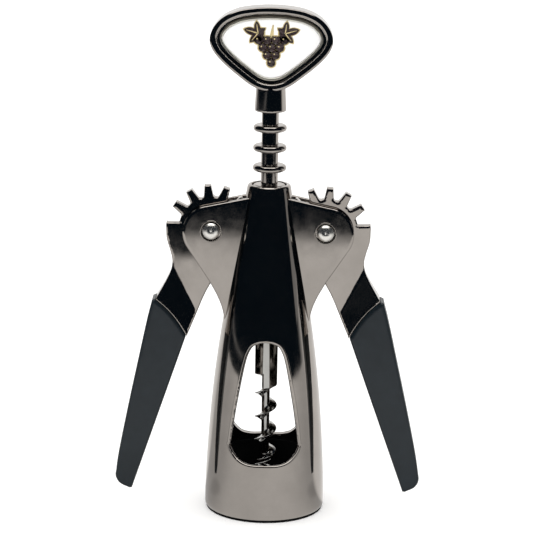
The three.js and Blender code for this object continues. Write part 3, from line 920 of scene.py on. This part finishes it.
def emblem_shapes():
    """A bunch of grapes under two vine leaves: gold outlines, dark fills and gold leaf veins."""
    cx, cz = EMBLEM_CENTRE
    top = cz + 1.6
    outlines, fills, veins = [], [], []
    for row, count in enumerate((4, 3, 2, 1)):
        for i in range(count):
            x = cx + (i - (count - 1) / 2) * GRAPE_PITCH
            z = top - row * GRAPE_PITCH * 0.87
            outlines.append(disc(x, z, GRAPE_RADIUS + 0.42))
            fills.append(disc(x, z, GRAPE_RADIUS))
            veins.append(disc(x - 0.45, z + 0.45, 0.24, 10))
    for side in (-1, 1):
        base = (cx + side * 4.6, top + 2.3)
        tilt = 0.28 if side > 0 else math.pi - 0.28
        outlines.append(leaf(*base, LEAF_SPAN, tilt, 0.45))
        fills.append(leaf(*base, LEAF_SPAN, tilt, 0.0))
        for at, reach in ((0, 0.86), (1.15, 0.66), (-1.15, 0.66)):
            end = polar_points(*base, LEAF_SPAN * reach, np.array([tilt + at]))[0]
            veins.append(stroke(*base, *end, 0.42))
    outlines.append(stroke(cx, top + 1.0, cx + 0.5, top + 5.2, 1.5))
    return outlines, fills, veins


def printed(name, shapes, face, near, far, material):
    """Flat printed shapes in X and Z with a little thickness, on the white plate."""
    points, faces = [], []
    for shape in shapes:
        count = len(shape)
        for y in (near, far):
            base = len(points)
            points += [(x, face * y, z) for x, z in shape]
            order = list(range(base, base + count))
            faces.append(order[::-1] if (y == far) == (face > 0) else order)
        a, b = base - count, base
        for i in range(count):
            j = (i + 1) % count
            quad = (a + i, a + j, b + j, b + i)
            faces.append(quad if face > 0 else quad[::-1])
    make_object(name, points, faces, None, "spindle", [], "white_enamel", material)


def build_emblem(face, name):
    """Bezel, white plate, print and clear dome on one face of the handle's web."""
    foot = WEB_HALF + 0.05
    plate_top, bezel_top = foot + PLATE_HEIGHT, foot + BEZEL_HEIGHT
    outside = RIM_WIDTH + BEZEL_GROOVE
    inside = outside + BEZEL_WIDTH
    centre = 99
    layers = [
        ("bezel", outside, inside, foot, bezel_top, 0.0, 0.45, satin_nickel, "bright_nickel"),
        ("plate", inside + 0.05, centre, foot, plate_top, 0.0, 0.15, white_print, "white_enamel"),
        ("dome", inside + 0.05, centre, plate_top + 0.17, bezel_top, 0.2, 0.15, clear_resin, "clear_resin"),
    ]
    corner = high("handle_ring")
    box_low, box_high = (low("handle_ring")[0], 0.6, 150), (corner[0], 4.2, corner[2])
    for layer, inner, outer, start, top, crown, radius, material, slot in layers:
        field = emblem_field(inner, outer, start, top, crown, radius)
        points, faces, normal = field_mesh(field, box_low, box_high, FINE_CELL, 2)
        if face < 0:
            points, faces, normal = mirrored_mesh(points, faces, normal, [1, -1, 1])
        make_object(f"emblem_{layer}_{name}_fine", points, faces.tolist(), normal, "spindle",
                    [f"emblem_{layer}_{name}"], slot, material)
    outlines, fills, veins = emblem_shapes()
    for part, shapes, start, material in (
        ("gold", outlines, 0.01, gold_ink), ("dark", fills, 0.06, dark_ink), ("veins", veins, 0.1, gold_ink),
    ):
        near = plate_top + start
        printed(f"emblem_print_{part}_{name}", shapes, face, near, near + 0.04, material)


# ---------------------------------------------------------------- levers and grips
CREASE = np.array([(13.2, -13.35), (4.9, -29.0)])
SEAM = [(20.6, -23.6), (18.9, -24.3), (14.7, -28.0), (11.2, -32.2), (8.1, -37.2), (7.2, -39.4)]
ARM_RISE = 0.27
LEVER_ROUND = 0.45
LIP_WIDTH = 0.5
LIP_HALF = 4.62
LEAN_REACH = 18
TONGUE_HALF = 2.2
TONGUE_END = -46
POCKET_GAP = 0.15


def tooth_corners(angle):
    section = np.array([(ROOT_RADIUS - 1.2, 1.8), (ROOT_RADIUS, 1.65), (TIP_RADIUS, 1.12),
                        (TIP_RADIUS, -1.12), (ROOT_RADIUS, -1.65), (ROOT_RADIUS - 1.2, -1.8)])
    c, s = math.cos(math.radians(180 - angle)), math.sin(math.radians(180 - angle))
    return section @ np.array([[c, s], [-s, c]])


SEAM_CURVE = smooth_curve(SEAM[1:-1], 6)
LEVER_OUTLINE = np.vstack([
    [(10.6, 2.1), (15.5, 2.15)],
    smooth_curve([(15.6, 0.8), (15.3, -3.5), (14.1, -7.6), (13.35, -10.9), (13.7, -14.2), (15.2, -17.6),
                  (18.4, -23.4)], 5),
    SEAM_CURVE,
    smooth_curve([(7.9, -37.2), (5.2, -30.7), (1.65, -22.0), (-3.2, -13.5)], 3),
    arc(0, 0, ROOT_RADIUS, 222, 12, 30),
])
TONGUE = [(15.5, -25.5), (20.2, -33), (29.6, -80), (28.2, -84), (25.8, -80), (12.2, -40), (9.5, -30)]


def crease_reach(u, w):
    """Distance past the crease, towards the grip."""
    along = CREASE[1] - CREASE[0]
    along /= np.linalg.norm(along)
    return (u - CREASE[0][0]) * -along[1] + (w - CREASE[0][1]) * along[0]


def lever_field(side, u, y, w):
    """The lever about its pivot: u outwards from the axis, w upwards. It leans a little in its slot."""
    y = y - LEVER_LEAN[side] * np.where(w > 0, w, LEAN_REACH * np.tanh(w / LEAN_REACH))
    outline = outline_field(LEVER_OUTLINE, u, w)
    flat = outline
    for i in range(TOOTH_COUNT):
        tooth = outline_field(tooth_corners(FIRST_TOOTH[side] - i * TOOTH_PITCH), u, w)
        flat = soft_union(flat, tooth, 0.7)
    plate = slab_field(flat, np.abs(y) - GEAR_HALF, LEVER_ROUND)
    rise = crease_reach(u, w)
    facet = (np.abs(y) - GEAR_HALF - ARM_RISE * rise) / math.hypot(1, ARM_RISE)
    arm = slab_field(np.maximum(outline, -rise - 3), facet, LEVER_ROUND)
    lip = open_distance(SEAM_CURVE, u, w) - LIP_WIDTH
    lip = slab_field(np.maximum(outline, lip), np.abs(y) - LIP_HALF, 0.2)
    body = np.minimum(np.minimum(plate, arm), lip)
    tongue = np.maximum(outline_field(TONGUE, u, w), np.maximum(np.abs(y) - TONGUE_HALF, TONGUE_END - w))
    body = np.minimum(body, tongue)
    return np.maximum(body, RIVET_HOLE - np.hypot(u, w))


GRIP_OUTLINE = np.vstack([
    smooth_curve([(20.2, -24.9), (21.7, -31.0), (24.65, -45), (28.4, -63.2), (31.8, -81), (32.55, -86.2)], 4),
    arc(28.4, -88.9, 4.5, 20, -62, 8),
    [(27.9, -94.0), (27.1, -93.8)],
    [(8.6, -38.3)],
    SEAM_CURVE[::-1] + [0.2, -0.12],
])


def grip_field(u, y, w):
    flat = outline_field(GRIP_OUTLINE, u, w)
    down = np.clip((-45 - w) / 49, 0, 1)
    half = 4.75 - 2.0 * down ** 1.6
    grip = slab_field(flat, np.abs(y) - half, 1.0)
    pocket = np.maximum(outline_field(TONGUE, u, w), np.abs(y) - TONGUE_HALF) - POCKET_GAP
    return np.maximum(grip, -pocket)


def build_levers():
    """The levers are mirror images but for how far open they rest, their lean and their teeth."""
    for side, name in ((-1, "left"), (1, "right")):
        lever = functools.partial(lever_field, name)
        parts = [
            ("lever", lever, (-17, -5, -50), (31, 5, 17), LEVER_CELL, *NICKEL, 2),
            ("grip", grip_field, (6, -5.2, -95), (34, 5.2, -23), GRIP_CELL, "soft_grip", soft_grip, 1),
        ]
        for part, field, box_low, box_high, cell, slot, material, relax in parts:
            points, faces, normal = field_mesh(field, box_low, box_high, cell, relax)
            if side < 0:
                points, faces, normal = mirrored_mesh(points, faces, normal, [-1, 1, 1])
            angle = RIGHT_LEVER_EXTRA if side > 0 else 0
            turn = np.array(Matrix.Rotation(-angle, 3, "Y"))
            place = points @ turn.T + [side * PIVOT_X, 0, PIVOT_Z]
            make_object(f"{part}_{name}_fine", place, faces.tolist(), normal @ turn.T,
                        f"lever_{name}_body", [f"{part}_{name}"], slot, material)


build_bell()
build_seat()
build_rivets()
build_rack()
build_worm()
build_handle()
build_emblem(-1, "front")
build_emblem(1, "back")
build_levers()


# ---------------------------------------------------------------- studio
class Sums:
    """Short ways to work with values in a node tree. A value is a number or a node's output."""

    def __init__(self, tree):
        self.tree = tree

    def math(self, operation, *values):
        node = self.tree.nodes.new("ShaderNodeMath")
        node.operation = operation
        for socket, value in zip(node.inputs, values):
            if isinstance(value, (int, float)):
                socket.default_value = value
            else:
                self.tree.links.new(value, socket)
        return node.outputs[0]

    def step(self, value, start, end, low_value=0.0, high_value=1.0):
        """Smooth change from low_value at start to high_value at end."""
        return map_range(self.tree, value, (start, end, low_value, high_value), "SMOOTHSTEP")

    def product(self, *values):
        return functools.reduce(functools.partial(self.math, "MULTIPLY"), values)

    def greatest(self, *values):
        return functools.reduce(functools.partial(self.math, "MAXIMUM"), values)

    def scaled_color(self, value, color, base):
        """value * color + base."""
        node = self.tree.nodes.new("ShaderNodeVectorMath")
        node.operation = "MULTIPLY_ADD"
        self.tree.links.new(value, node.inputs[0])
        node.inputs[1].default_value = color
        node.inputs[2].default_value = base
        return node.outputs["Vector"]


WARM_WHITE = (1.0, 0.985, 0.965)
DARK_ROOM = (0.004, 0.008, 0.013)
SOFT_LIGHT = (1.32, 1.31, 1.30, 1)
SOFTBOX_LIGHT = 2.3
STRIP_LIGHT = 0.32


def build_world():
    """Soft light all round. Shiny metal sees a dark front, a pale backdrop and a softbox overhead."""
    world = bpy.data.worlds.new("studio")
    world.use_nodes = True
    bpy.context.scene.world = world
    tree = world.node_tree
    direction = tree.nodes.new("ShaderNodeTexCoord").outputs["Generated"]
    split = tree.nodes.new("ShaderNodeSeparateXYZ")
    tree.links.new(direction, split.inputs[0])
    x, y, z = split.outputs
    sums = Sums(tree)
    backdrop = sums.product(sums.step(y, 0.52, 0.62), sums.step(z, 0.45, 0.7, 1.0, 0.25))
    across = sums.step(sums.math("ABSOLUTE", x), 0.50, 0.42)
    along = sums.product(sums.step(y, -0.52, -0.42), sums.step(y, 0.40, 0.30))
    softbox = sums.product(across, along, sums.step(z, 0.5, 0.6), SOFTBOX_LIGHT)
    strip = sums.product(sums.step(y, -0.12, -0.07), sums.step(y, 0.27, 0.21),
                         sums.step(x, 0.6, 0.7), sums.step(z, 0.35, 0.2), STRIP_LIGHT)
    studio = sums.greatest(backdrop, strip, softbox)
    path = tree.nodes.new("ShaderNodeLightPath")
    mix = tree.nodes.new("ShaderNodeMix")
    mix.data_type = "RGBA"
    mix.inputs["A"].default_value = SOFT_LIGHT
    tree.links.new(sums.scaled_color(studio, WARM_WHITE, DARK_ROOM), mix.inputs["B"])
    tree.links.new(path.outputs["Is Glossy Ray"], mix.inputs["Factor"])
    tree.links.new(mix.outputs["Result"], tree.nodes["Background"].inputs["Color"])


# Metres on the floor: half sizes of the pool of light, and the soft shadows under the grips' tips.
POOL = (0.58, 0.43)
GRIP_TIP_X = 0.048
TIP_SHADOW = 0.012
CAMERA_LIFT = 0.16


def build_floor():
    """A pale floor. In reflections it is a pool of light around the object that ends in a dark room."""
    size = 2.5
    mesh = bpy.data.meshes.new("floor")
    corners = [(-size, -size, 0), (size, -size, 0), (size, size, 0), (-size, size, 0)]
    mesh.from_pydata(corners, [], [(0, 1, 2, 3)])
    floor = add_object("floor", mesh)
    material = bpy.data.materials.new("pale_floor")
    material.use_nodes = True
    tree = material.node_tree
    nodes, links = tree.nodes, tree.links
    nodes.remove(nodes["Principled BSDF"])
    position = nodes.new("ShaderNodeNewGeometry").outputs["Position"]
    split = nodes.new("ShaderNodeSeparateXYZ")
    links.new(position, split.inputs[0])
    x, y, _ = split.outputs
    sums = Sums(tree)

    def distance(scale_x, scale_y, power):
        """How far out the floor point is: 1 on a rounded rectangle of these half sizes."""
        sides = sums.math("DIVIDE", x, scale_x), sums.math("DIVIDE", y, scale_y)
        powers = (sums.math("POWER", sums.math("ABSOLUTE", side), power) for side in sides)
        return sums.math("POWER", sums.math("ADD", *powers), 1 / power)

    reach = distance(1, 1, 2)
    towards_front = sums.math("DIVIDE", sums.math("MULTIPLY", y, -1), reach)
    lean = sums.math("DIVIDE", sums.math("MULTIPLY_ADD", x, 0.27, y), reach)
    # Painted light for reflections: the pool is brighter in front than at the sides. Painted shade dims it to
    # 0.86 within 3 cm of the object, fading out by 25 cm.
    pool = sums.product(sums.step(distance(*POOL, 4), 1.04, 0.96),
                        sums.step(towards_front, 0, 0.85, 0.62, 0.96),
                        sums.step(reach, 0.03, 0.25, 0.86, 1))
    behind = sums.step(lean, 0.16, 0.52)
    from_tip = sums.math("SUBTRACT", sums.math("ABSOLUTE", x), GRIP_TIP_X)
    sideways = sums.math("DIVIDE", from_tip, TIP_SHADOW)
    depth = sums.math("DIVIDE", y, TIP_SHADOW)
    squares = sums.math("MULTIPLY_ADD", sideways, sideways, sums.math("MULTIPLY", depth, depth))
    pool = sums.product(pool, sums.step(squares, 0, 1.6, 0.8, 1))
    far_left = sums.product(sums.step(x, -1.0, -1.1), sums.step(x, -1.35, -1.25), 0.2)
    glow = sums.greatest(pool, behind, far_left)
    reflected = nodes.new("ShaderNodeEmission")
    links.new(sums.scaled_color(glow, WARM_WHITE, DARK_ROOM), reflected.inputs["Color"])
    pale = nodes.new("ShaderNodeBsdfDiffuse")
    pale.inputs["Color"].default_value = (0.93, 0.93, 0.925, 1)
    path = nodes.new("ShaderNodeLightPath")
    lift = nodes.new("ShaderNodeEmission")
    links.new(sums.math("MULTIPLY", path.outputs["Is Camera Ray"], CAMERA_LIFT), lift.inputs["Strength"])
    lit = nodes.new("ShaderNodeAddShader")
    links.new(pale.outputs[0], lit.inputs[0])
    links.new(lift.outputs[0], lit.inputs[1])
    mix = nodes.new("ShaderNodeMixShader")
    links.new(path.outputs["Is Glossy Ray"], mix.inputs["Fac"])
    links.new(lit.outputs[0], mix.inputs[1])
    links.new(reflected.outputs[0], mix.inputs[2])
    links.new(mix.outputs[0], nodes["Material Output"].inputs["Surface"])
    mesh.materials.append(material)


def build_camera():
    distance, height = 0.7872, 0.2771
    azimuth, aim, pitch, roll = (math.radians(angle) for angle in (1.0, 1.035, 13.613, 0.94))
    data = bpy.data.cameras.new("camera")
    data.lens = 158.2
    data.sensor_width = 36
    data.clip_start = 0.05
    data.clip_end = 20
    camera = add_object("camera", data)
    forward = Vector((-math.sin(aim) * math.cos(pitch), math.cos(aim) * math.cos(pitch), -math.sin(pitch)))
    right = forward.cross(Vector((0, 0, 1))).normalized()
    up = right.cross(forward)
    tilted_right = right * math.cos(roll) + up * math.sin(roll)
    tilted_up = up * math.cos(roll) - right * math.sin(roll)
    place = Matrix((tilted_right, tilted_up, -forward)).transposed().to_4x4()
    place.translation = (distance * math.sin(azimuth), -distance * math.cos(azimuth), height)
    camera.matrix_world = place
    bpy.context.scene.camera = camera
    bpy.context.scene.view_settings.view_transform = "Standard"


build_world()
build_floor()
build_camera()
